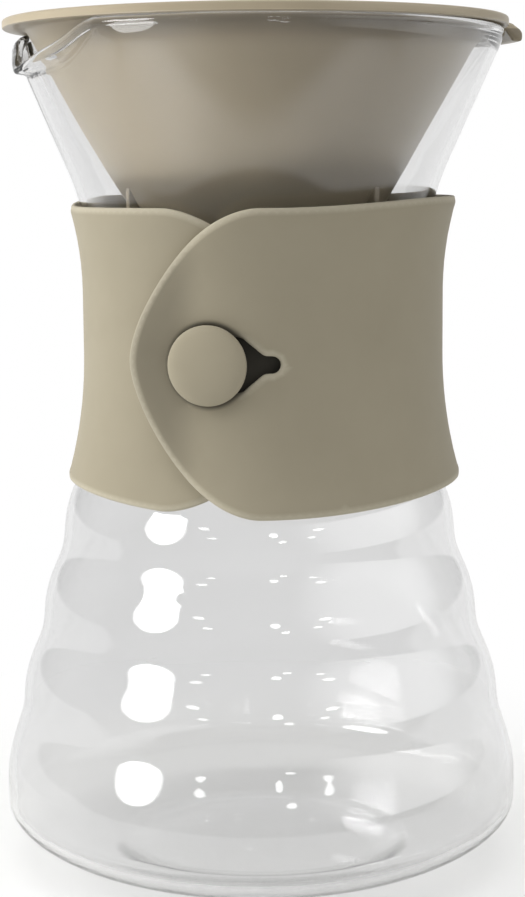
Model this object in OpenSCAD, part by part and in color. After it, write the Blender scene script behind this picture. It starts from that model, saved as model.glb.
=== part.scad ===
/* [Glass wall] */
// Thickness of the blown wall
glass_wall = 1.8; // [1.4:0.1:3]
// Thickness of the floor in its middle
glass_floor = 3; // [2:0.1:5]

/* [Bowl] */
// Radius of the flat ring that the jug stands on
foot_r = 33; // [24:0.5:40]
// Width of that flat ring
foot_land = 2; // [1:0.25:4]
// Rise of the hollow underside in its middle
push_up = 1.6; // [0.5:0.1:4]
// Height of the rounded bottom corner
corner_h = 15; // [10:0.5:24]
// Height of the upright belt above the corner
belt_h = 5; // [2:0.5:12]
// Height of the lowest ring, from the belt to its crease
low_ring_h = 16.4; // [10:0.2:24]
// How far the lowest ring swells past its crease
low_ring_bulge = 3.8; // [2:0.1:7]

/* [Moulded rings] */
// Number of rings between the lowest ring and the neck
ring_count = 3; // [2:1:5]
// Height of one ring
ring_pitch = 19.94; // [14:0.1:26]
// How far a ring swells between its creases
ring_bulge = 1.16; // [0.5:0.02:2.5]
// Angle by which the rings taper toward the neck
ring_taper = 14.74; // [8:0.5:20]

/* [Neck] */
// Outer radius of the neck
neck_r = 38.9; // [34:0.5:46]
// Length of the straight neck
neck_len = 14.3; // [6:0.5:30]
// Radius of the curve from the neck down to the rings
shoulder_curve_r = 104; // [70:2:140]
// Radius of the curve from the neck up to the mouth
mouth_curve_r = 75.6; // [50:1:110]

/* [Mouth and spout] */
// Angle by which the mouth opens upward
mouth_angle = 24.2; // [18:0.5:30]
// Height of the straight part of the mouth
mouth_cone_h = 30; // [20:0.5:45]
// Thickness of the rolled rim
bead_d = 2.6; // [2:0.1:4]
// Direction of the spout about the upright axis
spout_turn = -160; // [-180:1:180]
// Width of the spout where it leaves the rim
spout_w = 60; // [40:1:70]
// How far the spout dips below the rim
spout_dip = 9.6; // [6:0.2:14]
// How far the spout reaches past the wall below it
spout_reach = 4.4; // [2.5:0.1:8]
// Radius of the tip of the spout
spout_tip_r = 2.6; // [1.5:0.1:4]
// Lean of the two pressed sides below the spout
pressed_lean = 20.3; // [16:0.5:23]
// Turn of each pressed side away from the spout
pressed_turn = 20.8; // [12:0.5:30]

/* [Cone dripper] */
// Clearance between the dripper and the inside of the rim
dripper_clear = 1.8; // [1:0.1:4]
// Half the angle of the dripper cone
cone_half_angle = 30; // [26:0.5:34]
// Wall of the dripper
dripper_wall = 2; // [1.5:0.1:3]
// Radius of the outlet
outlet_r = 9.4; // [7:0.2:14]
// Height of the collar round the outlet
outlet_h = 3.4; // [2:0.2:8]
// Thickness of the flange on the rim
flange_t = 2.2; // [1.6:0.1:4]
// How far the flange reaches past the rim
flange_lip = 0.9; // [0.5:0.1:4]
// Number of upright fins that centre the dripper
fin_count = 3; // [3:1:6]
// Turn of the first fin away from the tab
fin_turn = 72; // [0:1:120]
// Thickness of a centring fin
fin_t = 1.5; // [1:0.1:3]
// Length of the outer edge of a centring fin
fin_h = 33; // [20:1:40]
// Clearance between the fins and the neck
fin_clear = 2.6; // [1:0.1:5]

/* [Inner ribs of the dripper] */
// Number of spiral ribs
rib_count = 12; // [6:1:16]
// Height of a rib over the wall
rib_rise = 1.2; // [0.8:0.1:2]
// Width of a rib at the wall
rib_w = 2.2; // [1.4:0.1:3]
// Turn of a rib from its foot to its top
rib_turn = 75; // [0:5:120]
// Height of the wall that stays bare above the ribs
rib_top_gap = 16; // [8:1:30]

/* [Grip tab] */
// Direction of the tab about the upright axis
tab_turn = 14; // [-180:1:180]
// Width of the tab
tab_w = 20; // [14:1:30]
// How far the tab reaches past the flange
tab_reach = 4.6; // [3:0.1:10]
// How far the tab drops below the top of the flange
tab_drop = 5; // [3.5:0.1:9]
// Thickness of the tab at its end
tab_t = 2.6; // [1.8:0.1:4]

/* [Silicone sleeve] */
// Thickness of the silicone
sleeve_t = 2.3; // [1.6:0.1:3.5]
// Clearance between the sleeve and the glass
sleeve_clear = 0.3; // [0.25:0.05:0.6]
// Gap between the two layers of the overlap
layer_gap = 0.2; // [0.2:0.05:0.5]
// How far the sleeve reaches below the top crease of the rings
sleeve_below = 6.3; // [3:0.1:9]
// How far the sleeve stops below the straight part of the mouth
sleeve_above = 10.1; // [4:0.1:20]
// Length of each rounded end
strap_end_len = 29; // [24:0.5:36]
// Direction of the end of the upper layer
flap_end_turn = -127; // [-140:1:-115]
// How far the end of the upper layer stands off the lower one
flap_lift = 3.4; // [0:0.2:4]
// Direction of the end of the lower layer
under_end_turn = -77; // [-90:1:-65]

/* [Button] */
// Direction of the button
button_turn = -104.1; // [-110:1:-98]
// Diameter of the domed head
button_d = 17.8; // [14:0.2:22]
// Thickness of the rim of the head
button_edge = 1.2; // [0.8:0.1:2]
// Height of the dome over the rim of the head
button_dome = 2.2; // [1:0.1:4]
// Diameter of the stem
stem_d = 10; // [7:0.5:12]
// Depth of the stem in the lower layer
stem_seat = 1.1; // [0.6:0.1:1.4]
// Clearance round the stem in its seat
stem_clear = 0.1; // [0.05:0.05:0.3]
// Clearance between the head and the upper layer
head_clear = 0.3; // [0.2:0.05:0.8]
// Diameter of the wide end of the buttonhole
hole_d = 16.2; // [12:0.2:17]
// Reach of the slot from the middle of the button
slot_reach = 15.3; // [12:0.1:18]
// Width of the slot at its closed end
slot_w = 3.8; // [2.5:0.1:5]

/* [Hidden] */
$fn = 96;
// Overrun of every cut
over = 1;
// How far the pressed sides start outside the wall
pressed_lead = 0.1;
// Depth by which a rib is rooted in the wall
rib_root = 0.6;
// Depth by which a fin and the tab are rooted in what carries them
root = 1;
// Chamfer of the moulded edges of the dripper
edge_cut = 0.4;

// Share that softens the creases between the rings
crease_share = 0.73;
// How far the middle of the bead lies inside the wall, as a share of its radius
bead_in_share = 1.27;
// Roundness of the bottom corner and of the lowest ring
corner_share = 1.4;
low_ring_share = 1.12;
// Roundness of the strap ends and of the dome
end_share = 1.7;
dome_share = 2.2;
// Where the slot of the buttonhole starts, as a share of its reach
slot_start_share = 0.52;
// Width of the slot at its start, as a share of the hole
slot_open_share = 0.45;
// Chamfer of the edges of the sleeve, as a share of its thickness
edge_share = 0.28;

corner_steps = 10;
low_steps = 8;
ring_steps = 9;
curve_steps = 9;
bead_steps = 3;
rib_rings = 10;
// Sections of the strap in each rounded end and between them, and rows across it
end_rings = 8;
full_rings = 38;
strap_rows = 11;
// How far out in the gap the buttonhole ends, as a share of the gap
keep_share = 0.2;
// Angle on the rounded end at which its first section lies
tip_start = 8;

// Heights of the glass, from the table up
belt_z = corner_h + belt_h;
low_crease_z = belt_z + low_ring_h;
top_crease_z = low_crease_z + ring_count * ring_pitch;
neck_low_z = top_crease_z + shoulder_curve_r * sin(ring_taper);
neck_high_z = neck_low_z + neck_len;
mouth_z = neck_high_z + mouth_curve_r * sin(mouth_angle);
rim_z = mouth_z + mouth_cone_h;

// Radii of the glass, from the neck outward
top_crease_r = neck_r + shoulder_curve_r * (1 - cos(ring_taper));
low_crease_r = top_crease_r + ring_count * ring_pitch * tan(ring_taper);
belly_r = low_crease_r + low_ring_bulge;
mouth_r = neck_r + mouth_curve_r * (1 - cos(mouth_angle));
bead_r = bead_d / 2;
bead_z = rim_z - bead_r * sin(75);
bead_mid_r = mouth_r + (bead_z - mouth_z) * tan(mouth_angle) - bead_r * bead_in_share;
rim_r = bead_mid_r + bead_r;
rim_in_r = bead_mid_r - bead_r;

function crease_cone_r(z) = top_crease_r + (top_crease_z - z) * tan(ring_taper);
function soft_wave(s) = (sqrt(s * s + crease_share ^ 2) - crease_share) / (sqrt(1 + crease_share ^ 2) - crease_share);
function ring_r(z) = crease_cone_r(z) + ring_bulge * soft_wave(sin(180 * (top_crease_z - z) / ring_pitch));

// Outline of the outside of the glass, from the foot to the rim
function corner_line() = [for (i = [0:corner_steps])
    let (a = 90 * (1 - i / corner_steps))
    [foot_r + (belly_r - foot_r) * cos(a) ^ (2 / corner_share), corner_h * (1 - sin(a))]];
function low_ring_line() = [for (i = [0:low_steps - 1])
    let (s = 1 - i / low_steps)
    [low_crease_r + low_ring_bulge * sin(90 * s) ^ low_ring_share, low_crease_z - low_ring_h * s]];
function rings_line() = [for (i = [0:ring_count * ring_steps - 1])
    let (z = low_crease_z + i * ring_pitch / ring_steps)
    [ring_r(z), z]];
function shoulder_line() = [for (i = [0:curve_steps])
    let (a = ring_taper * (1 - i / curve_steps))
    [neck_r + shoulder_curve_r * (1 - cos(a)), neck_low_z - shoulder_curve_r * sin(a)]];
function mouth_line() = [for (i = [0:curve_steps])
    let (a = mouth_angle * i / curve_steps)
    [neck_r + mouth_curve_r * (1 - cos(a)), neck_high_z + mouth_curve_r * sin(a)]];
function bead_arc(from) = [for (i = [0:bead_steps])
    let (a = from + 90 * i / bead_steps)
    [bead_mid_r + bead_r * cos(a), bead_z + bead_r * sin(a)]];

outer_line = concat(corner_line(), low_ring_line(), rings_line(), shoulder_line(), mouth_line());
last_i = len(outer_line) - 1;

// The same outline moved inward by the wall
function step_dir(i) = outer_line[min(i + 1, last_i)] - outer_line[max(i - 1, 0)];
function inset_point(i) = let (d = step_dir(i))
    outer_line[i] + glass_wall * [-d[1], d[0]] / norm(d);
inner_line = [for (i = [0:last_i]) inset_point(i)];

// Radius of the outside of the glass at a height
wall_table = [for (p = outer_line) [p[1], p[0]]];
function wall_r(z) = lookup(z, wall_table);

// A shallow dome between the axis and a rim point
function dome_line(r, z_mid, z_rim) = [for (i = [0:curve_steps - 1])
    let (s = i / curve_steps)
    [r * s, z_mid + (z_rim - z_mid) * s * s]];

module outer_body() {
    land_r = foot_r - foot_land;
    rotate_extrude()
        polygon(concat(dome_line(land_r, push_up, 0), [[land_r, 0]], outer_line, bead_arc(-15), [[0, bead_arc(-15)[bead_steps][1]]]));
}

module inner_body() {
    floor_edge = inner_line[1];
    rotate_extrude()
        polygon(concat(
            dome_line(floor_edge[0], push_up + glass_floor, floor_edge[1]),
            [for (i = [1:last_i]) inner_line[i]],
            [for (i = [bead_steps:-1:0]) bead_arc(105)[i]],
            [[rim_in_r + bead_r, rim_z + spout_dip], [0, rim_z + spout_dip]]));
}

// Where the wall below the spout is pressed flat
pressed_low_z = neck_high_z + mouth_curve_r * sin(pressed_lean);
spout_low_z = rim_z - spout_dip;
pressed_d = mouth_r + pressed_lead + (spout_low_z - mouth_z) * tan(pressed_lean);
spout_tip = pressed_d / cos(pressed_turn - mouth_angle / 2) + spout_reach;

module pressed_side(side, inset) {
    reach = rim_z;
    rotate([0, 0, side * pressed_turn])
        translate([mouth_r + pressed_lead, 0, mouth_z])
            rotate([0, pressed_lean, 0])
                translate([-inset, -reach, -(mouth_z - pressed_low_z) / cos(pressed_lean)])
                    cube([reach, 2 * reach, reach]);
}

// The lip that is drawn out of the rim, outside or, with an inset, inside
module drawn_lip(inset, rise) {
    end_x = sqrt(rim_r ^ 2 - (spout_w / 2) ^ 2) - bead_r;
    hull() {
        translate([spout_tip - spout_tip_r, 0, spout_low_z - bead_d / 4 + inset])
            cylinder(r = spout_tip_r - inset, h = bead_d / 2 + rise);
        translate([neck_r, 0, spout_low_z - bead_d / 4 + inset])
            cylinder(r = spout_tip_r - inset, h = spout_dip + bead_d / 4 + rise);
        for (side = [-1, 1])
            translate([end_x, side * (spout_w / 2 - bead_r), rim_z - bead_d])
                cylinder(r = max(bead_r - inset, bead_r / 4), h = bead_d + rise);
    }
}

module mouth_form(inset, rise) {
    difference() {
        if (inset == 0) outer_body();
        if (inset > 0) inner_body();
        for (side = [-1, 1]) pressed_side(side, inset);
    }
    drawn_lip(inset, rise);
}

// The cut that lets the rim dip down to the tip of the spout
module dip_cut() {
    wide = spout_w / 2;
    translate([neck_r, 0, 0])
        rotate([90, 0, 90])
            linear_extrude(height = rim_r)
                polygon([[-wide, rim_z], [-spout_tip_r, spout_low_z + bead_r / 2], [spout_tip_r, spout_low_z + bead_r / 2],
                    [wide, rim_z], [wide, rim_z + spout_dip], [-wide, rim_z + spout_dip]]);
}

module glass_decanter() {
    color("lightcyan", 0.4)
        rotate([0, 0, spout_turn])
            difference() {
                mouth_form(0, 0);
                mouth_form(glass_wall, spout_dip);
                dip_cut();
            }
}

// Dripper, seated on the rim
cone_top_r = rim_in_r - dripper_clear;
cone_wall_r = dripper_wall / cos(cone_half_angle);
cone_low_z = rim_z - (cone_top_r - outlet_r - cone_wall_r) / tan(cone_half_angle);
flange_z = rim_z + flange_t;
flange_r = rim_r + flange_lip;
fin_r = neck_r - glass_wall - fin_clear;

function cone_out_r(z) = cone_top_r - (rim_z - z) * tan(cone_half_angle);
function cone_in_r(z) = cone_out_r(z) - cone_wall_r;

module cone_shell() {
    rotate_extrude()
        polygon([
            [outlet_r, cone_low_z - outlet_h],
            [outlet_r + dripper_wall, cone_low_z - outlet_h],
            [cone_out_r(cone_low_z), cone_low_z],
            [cone_top_r, rim_z],
            [flange_r - edge_cut, rim_z],
            [flange_r, rim_z + edge_cut],
            [flange_r, flange_z - edge_cut],
            [flange_r - edge_cut, flange_z],
            [cone_in_r(flange_z) + edge_cut, flange_z],
            [cone_in_r(flange_z - edge_cut), flange_z - edge_cut],
            [cone_in_r(cone_low_z), cone_low_z]]);
}

module centring_fin() {
    top_z = rim_z - (cone_top_r - fin_r) / tan(cone_half_angle);
    low_z = top_z - fin_h;
    rotate([90, 0, 0])
        translate([0, 0, -fin_t / 2])
            linear_extrude(height = fin_t)
                polygon([[cone_out_r(low_z) - root, low_z], [fin_r - root, low_z], [fin_r, low_z + root],
                    [fin_r, top_z], [cone_out_r(top_z) - root, top_z]]);
}

// One spiral rib, swept up the inside of the cone
module spiral_rib() {
    low_z = cone_low_z + rib_w;
    top_z = rim_z - rib_top_gap;
    function rib_z(i) = low_z + (top_z - low_z) * i / rib_rings;
    function rib_a(i) = rib_turn * (1 - (1 - i / rib_rings) ^ 2);
    function rib_h(i) = rib_rise * min(1, 2 * min(i, rib_rings - i) / rib_rings + 0.25);
    function rib_point(i, depth, side) = let (r = cone_in_r(rib_z(i)) - depth, t = side * asin(rib_w / 2 / cone_in_r(rib_z(i))))
        [r * cos(rib_a(i) + t), r * sin(rib_a(i) + t), rib_z(i)];
    function rib_ring(i) = [
        rib_point(i, -rib_root, -1),
        rib_point(i, -rib_root, 1),
        rib_point(i, rib_h(i), 0.4),
        rib_point(i, rib_h(i), -0.4)];
    points = [for (i = [0:rib_rings]) for (p = rib_ring(i)) p];
    sides = [for (i = [0:rib_rings - 1]) for (k = [0:3])
        for (t = [[i * 4 + k, i * 4 + 4 + k, i * 4 + (k + 1) % 4], [i * 4 + (k + 1) % 4, i * 4 + 4 + k, i * 4 + 4 + (k + 1) % 4]]) t];
    last = rib_rings * 4;
    polyhedron(points = points, faces = concat(sides,
        [[0, 1, 2], [0, 2, 3], [last, last + 2, last + 1], [last, last + 3, last + 2]]));
}

module grip_tab() {
    end_r = flange_r + tab_reach;
    low_z = flange_z - tab_drop;
    intersection() {
        translate([0, tab_w / 2, 0])
            rotate([90, 0, 0])
                linear_extrude(height = tab_w)
                    polygon([[flange_r - 2 * root, flange_z - edge_cut], [flange_r + edge_cut, flange_z - edge_cut], [end_r, low_z + tab_t],
                        [end_r, low_z], [end_r - tab_t, low_z], [flange_r, rim_z], [flange_r - 2 * root, rim_z]]);
        cylinder(r = end_r, h = 2 * rim_z);
    }
}

module cone_dripper() {
    color("dimgray")
        rotate([0, 0, tab_turn]) {
            cone_shell();
            for (i = [0:fin_count - 1]) rotate([0, 0, fin_turn + i * 360 / fin_count]) centring_fin();
            for (i = [0:rib_count - 1]) rotate([0, 0, i * 360 / rib_count]) spiral_rib();
            grip_tab();
        }
}

// Sleeve, wrapped round the neck with its ends overlapping
sleeve_low_z = top_crease_z - sleeve_below;
sleeve_top_z = mouth_z - sleeve_above;
sleeve_mid_z = (sleeve_low_z + sleeve_top_z) / 2;
layer_step = sleeve_t + layer_gap;
under_out_r = neck_r + sleeve_clear + sleeve_t;
flap_out_r = under_out_r + layer_step;

// Turns of the sections of the strap, from the tip of its upper layer to the tip of its lower one
upper_end_turn = strap_end_len / flap_out_r * 180 / PI;
lower_end_turn = strap_end_len / under_out_r * 180 / PI;
full_from = flap_end_turn + upper_end_turn;
full_to = 360 + under_end_turn - lower_end_turn;
function tip_a(i) = tip_start + (90 - tip_start) * i / end_rings;
function tip_run(i) = 1 - cos(tip_a(i)) ^ (2 / end_share);
function tip_high(i) = sin(tip_a(i)) ^ (2 / end_share);
strap_rings = concat(
    [for (i = [0:end_rings - 1]) [flap_end_turn + upper_end_turn * tip_run(i), tip_high(i)]],
    [for (i = [0:full_rings]) [full_from + (full_to - full_from) * i / full_rings, 1]],
    [for (i = [end_rings - 1:-1:0]) [360 + under_end_turn - lower_end_turn * tip_run(i), tip_high(i)]]);

// The strap moves out by one layer on its way round the back, and its upper end curls off the lower layer
lift_from = button_turn - asin(hole_d / 2 / flap_out_r);
function end_lift(turn) = flap_lift * max(0, (lift_from - turn) / (lift_from - flap_end_turn)) ^ 2;
function layer_shift(turn) = layer_step * (1 - max(0, min(1, turn / 180))) + end_lift(turn);

// One section of the strap, up its inside and down its outside
function strap_ring(turn, high) = let (
    half = (sleeve_top_z - sleeve_low_z) / 2 * high,
    cut = sleeve_t * edge_share,
    low = sleeve_mid_z - half,
    rows = concat([low], [for (k = [0:strap_rows]) low + cut + 2 * (half - cut) * k / strap_rows], [low + 2 * half]),
    n = len(rows) - 1,
    up = [for (k = [0:n]) [wall_r(rows[k]) + (k == 0 || k == n ? cut : 0), rows[k]]],
    down = [for (k = [n:-1:0]) [wall_r(rows[k]) + sleeve_t - (k == 0 || k == n ? cut : 0), rows[k]]])
    [for (p = concat(up, down)) let (r = p[0] + sleeve_clear + layer_shift(turn)) [r * cos(turn), r * sin(turn), p[1]]];

module strap() {
    rings = [for (s = strap_rings) strap_ring(s[0], s[1])];
    m = len(rings[0]);
    last = (len(rings) - 1) * m;
    sides = [for (i = [0:len(rings) - 2]) for (k = [0:m - 1]) let (a = i * m + k, b = i * m + (k + 1) % m)
        for (t = [[a, b, a + m], [b, b + m, a + m]]) t];
    ends = [for (k = [0:m / 2 - 2]) for (t = [[k, m - 1 - k, k + 1], [k + 1, m - 1 - k, m - 2 - k],
        [last + k, last + k + 1, last + m - 1 - k], [last + k + 1, last + m - 2 - k, last + m - 1 - k]]) t];
    polyhedron(points = [for (r = rings) for (p = r) p], faces = concat(sides, ends));
}

// The buttonhole, a round opening with a slot beside it
module buttonhole() {
    start = slot_reach * slot_start_share;
    wide = hole_d * slot_open_share / 2;
    end = slot_reach - slot_w / 2;
    rotate([0, 0, button_turn + 90])
        translate([0, 0, sleeve_mid_z])
            rotate([90, 0, 0])
                linear_extrude(height = neck_r * 2) {
                    circle(d = hole_d);
                    translate([end, 0]) circle(d = slot_w);
                    polygon([[0, -hole_d / 2 + over], [start, -wide], [(start + end) / 2, -(wide + slot_w) / 3], [end, -slot_w / 2],
                        [end, slot_w / 2], [(start + end) / 2, (wide + slot_w) / 3], [start, wide], [0, hole_d / 2 - over]]);
                }
}

// What lies inside the gap between the two layers, where the buttonhole isn't cut
module lower_layer_keep() {
    rotate_extrude()
        polygon(concat([[0, sleeve_low_z]],
            [for (k = [0:strap_rows]) let (z = sleeve_low_z + (sleeve_top_z - sleeve_low_z) * k / strap_rows)
                [wall_r(z) + sleeve_clear + sleeve_t + layer_gap * keep_share, z]],
            [[0, sleeve_top_z]]));
}

module silicone_sleeve() {
    color("darkkhaki")
        difference() {
            strap();
            difference() {
                buttonhole();
                lower_layer_keep();
            }
            button_place() translate([0, 0, -stem_seat]) cylinder(d = stem_d + 2 * stem_clear, h = stem_seat + sleeve_t);
        }
}

// Puts a piece on the lower layer, its axis pointing outward
module button_place() {
    rotate([0, 0, button_turn])
        translate([under_out_r, 0, sleeve_mid_z])
            rotate([0, 90, 0])
                children();
}

module sleeve_button() {
    head_z = layer_step + head_clear;
    dome = [for (i = [0:curve_steps]) let (a = 90 * i / curve_steps)
        [button_d / 2 * cos(a) ^ (2 / dome_share), head_z + button_edge + button_dome * sin(a) ^ (2 / dome_share)]];
    color("tan")
        button_place()
            rotate_extrude()
                polygon(concat(
                    [[0, -stem_seat], [stem_d / 2, -stem_seat], [stem_d / 2, head_z], [button_d / 2 - edge_cut, head_z], [button_d / 2, head_z + edge_cut]],
                    dome));
}

glass_decanter();
cone_dripper();
silicone_sleeve();
sleeve_button();
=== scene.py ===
import math

import bmesh
import bpy
import numpy as np
from mathutils import Matrix, geometry


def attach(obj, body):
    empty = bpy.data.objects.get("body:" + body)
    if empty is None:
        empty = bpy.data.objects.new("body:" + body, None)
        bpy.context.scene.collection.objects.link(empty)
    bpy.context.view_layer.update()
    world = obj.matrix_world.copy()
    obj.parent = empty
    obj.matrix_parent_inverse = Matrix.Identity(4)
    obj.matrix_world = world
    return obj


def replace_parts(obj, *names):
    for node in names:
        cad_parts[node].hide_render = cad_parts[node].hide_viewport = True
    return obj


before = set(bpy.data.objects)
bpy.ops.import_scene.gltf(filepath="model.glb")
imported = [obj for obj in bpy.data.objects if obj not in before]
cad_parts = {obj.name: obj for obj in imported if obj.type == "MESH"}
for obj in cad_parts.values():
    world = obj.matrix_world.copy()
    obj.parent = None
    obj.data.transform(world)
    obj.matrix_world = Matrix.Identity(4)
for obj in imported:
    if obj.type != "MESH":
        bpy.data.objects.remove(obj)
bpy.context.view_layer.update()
print("frame loaded")


def hexColor(text):  # sRGB hex to the linear colour that sockets take
    parts = [int(text[i:i + 2], 16) / 255 for i in (1, 3, 5)]
    return tuple(c / 12.92 if c <= 0.04045 else ((c + 0.055) / 1.055) ** 2.4 for c in parts) + (1.0,)


def clamp(x, low=0.0, high=1.0):
    return min(max(x, low), high)


def smoothStep(x):
    x = clamp(x)
    return x * x * (3 - 2 * x)


def softMin(a, b, k):
    h = max(k - abs(a - b), 0) / k
    return min(a, b) - h * h * k / 4


# Settings that many nodes share

smooth = {"interpolation_type": "SMOOTHSTEP"}
multiply = {"operation": "MULTIPLY"}
mixColors = {"data_type": "RGBA"}


def addNode(tree, kind, settings=None, inputs=None):  # inputs take a socket, a node's first output or a value
    node = tree.nodes.new(kind)
    for key, value in (settings or {}).items():
        setattr(node, key, value)
    for key, value in (inputs or {}).items():
        value = value.outputs[0] if isinstance(value, bpy.types.Node) else value
        if isinstance(value, bpy.types.NodeSocket):
            tree.links.new(value, node.inputs[key])
        else:
            node.inputs[key].default_value = value
    return node


def newMaterial(name):
    material = bpy.data.materials.new(name)
    material.use_nodes = True
    material.node_tree.nodes.clear()
    return material, material.node_tree


# Place of the button, for its mesh, the hole of the strap and the shade round it

buttonSpot = {
    "azimuth": -14.1,  # degrees, 0 is the front and + is towards +X
    "height": 123.3,  # mm
}


# Materials

glassLook = {
    "color": "#f3f3f3",
    "shadowTint": "#efefef",
    "ior": 1.474,
    "rippleSize": 9.0,  # mm, the slow ripple that blowing leaves
    "rippleDepth": 0.012,  # mm
}


def makeGlass():  # mould-blown borosilicate: clear, fire-polished, with a faint ripple in its highlights
    material, tree = newMaterial("mouldBlownBorosilicateGlass")
    place = addNode(tree, "ShaderNodeTexCoord")
    ripple = addNode(tree, "ShaderNodeTexNoise", inputs={
        "Vector": place.outputs["Object"], "Scale": 1000 / glassLook["rippleSize"],
        "Detail": 1.0, "Roughness": 0.3})
    bump = addNode(tree, "ShaderNodeBump", inputs={
        "Strength": 0.5, "Distance": glassLook["rippleDepth"] / 1000, "Height": ripple})
    shader = addNode(tree, "ShaderNodeBsdfPrincipled", inputs={
        "Base Color": hexColor(glassLook["color"]), "Roughness": 0.0, "IOR": glassLook["ior"],
        "Transmission Weight": 1.0, "Normal": bump.outputs["Normal"]})
    clear = addNode(tree, "ShaderNodeBsdfTransparent", inputs={"Color": hexColor(glassLook["shadowTint"])})
    path = addNode(tree, "ShaderNodeLightPath")
    both = addNode(tree, "ShaderNodeMixShader", inputs={  # shadow rays pass, so light reaches what is inside
        0: path.outputs["Is Shadow Ray"], 1: shader, 2: clear})
    addNode(tree, "ShaderNodeOutputMaterial", inputs={"Surface": both})
    return material


plasticLook = {
    "light": "#a59983",
    "dark": "#9a8f79",
    "cloudScale": 60.0,  # per m, a drift of the colour over about 17 mm
    "roughness": 0.36,
    "roughnessDrift": 0.04,
    "grain": 0.35,  # mm, the satin texture of the mould, drawn coarser than it is
    "grainDepth": 0.012,
    "shadow": "#4a4233",  # painted shade, for the gap between flange and glass, where hardly any light gets in, and for the part that stands down in the sleeve
    "gapShade": 0.6,
    "gapTop": 197.9,  # mm above the table
    "gapDepth": 7.0,
    "gapMargin": 0.3,  # the flange keeps its colour from this far above the gap
    "neckShade": 0.44,  # painted shade on the part that stands down in the sleeve
    "neckLow": 156.0,
    "neckHigh": 172.0,
}


def makePlastic():  # injection-moulded polypropylene: satin, warm grey, soft broad highlights, with painted shade in the gap under the flange and low on the cone
    material, tree = newMaterial("mouldedPolypropylene")
    place = addNode(tree, "ShaderNodeTexCoord")
    cloud = addNode(tree, "ShaderNodeTexNoise", inputs={
        "Vector": place.outputs["Object"], "Scale": plasticLook["cloudScale"], "Detail": 2.0})
    tint = addNode(tree, "ShaderNodeMix", mixColors, {
        0: cloud, 6: hexColor(plasticLook["dark"]), 7: hexColor(plasticLook["light"])})
    grain = addNode(tree, "ShaderNodeTexNoise", inputs={
        "Vector": place.outputs["Object"], "Scale": 1000 / plasticLook["grain"], "Detail": 2.0})
    bump = addNode(tree, "ShaderNodeBump", inputs={
        "Strength": 0.3, "Distance": plasticLook["grainDepth"] / 1000, "Height": grain})
    rough, drift = plasticLook["roughness"], plasticLook["roughnessDrift"]
    satin = addNode(tree, "ShaderNodeMapRange", inputs={
        0: cloud, 1: 0.3, 2: 0.7, 3: rough - drift, 4: rough + drift})
    height = addNode(tree, "ShaderNodeSeparateXYZ", inputs={0: place.outputs["Object"]}).outputs["Z"]
    # Painted shade: darker in the gap under the flange and low on the cone, where it stands down in the
    # sleeve
    top = plasticLook["gapTop"] / 1000
    under = addNode(tree, "ShaderNodeMapRange", smooth, {
        0: height, 1: top - plasticLook["gapDepth"] / 1000, 2: top, 3: 0.0, 4: plasticLook["gapShade"]})
    below = addNode(tree, "ShaderNodeMath", {"operation": "LESS_THAN"}, {
        0: height, 1: top + plasticLook["gapMargin"] / 1000})
    gap = addNode(tree, "ShaderNodeMath", multiply, {0: under, 1: below})
    low = addNode(tree, "ShaderNodeMapRange", smooth, {
        0: height, 1: plasticLook["neckLow"] / 1000, 2: plasticLook["neckHigh"] / 1000,
        3: plasticLook["neckShade"], 4: 0.0})
    dark = addNode(tree, "ShaderNodeMath", {"operation": "MAXIMUM"}, {0: gap, 1: low})
    base = addNode(tree, "ShaderNodeMix", mixColors, {
        0: dark, 6: tint.outputs[2], 7: hexColor(plasticLook["shadow"])})
    shader = addNode(tree, "ShaderNodeBsdfPrincipled", inputs={
        "Base Color": base.outputs[2], "Roughness": satin, "IOR": 1.49,
        "Normal": bump.outputs["Normal"]})
    addNode(tree, "ShaderNodeOutputMaterial", inputs={"Surface": shader})
    return material


siliconeLook = {
    "light": "#a09884",
    "dark": "#968e7a",
    "cloudScale": 45.0,  # per m, a drift of the colour over about 22 mm
    "rim": "#cdc6b2",  # painted highlight for the rounded edges, which catch the light
    "edgeHighlightShare": 0.4,
    "roughness": 0.66,
    "grain": 0.28,  # mm, the matte bloom of the mould, drawn coarser than it is
    "grainDepth": 0.016,
    "shadow": "#120f08",  # painted shade, for the narrow gap round the button, the ring under its head and the hollow behind the curled flap, where hardly any light gets in
    "recessFloor": 42.0,  # mm from the axis of the jug, fully dark below this
    "recessMouth": 43.4,
    "recessMiddle": (-8.0, -41.5),  # at the height of the button
    "recessReach": (19.0, 22.0),  # mm from that middle, over which the shade fades out
    "recessShade": 0.93,
    "hollowShade": 0.28,  # painted shade in the hollow behind the curled end of the flap
    "ringReach": (8.8, 10.3),  # mm from the axis of the button, the painted contact shadow under its head
    "ringShade": 0.75,
    "buttonLift": 1.04,  # the button is a little paler than the strap
}


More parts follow.
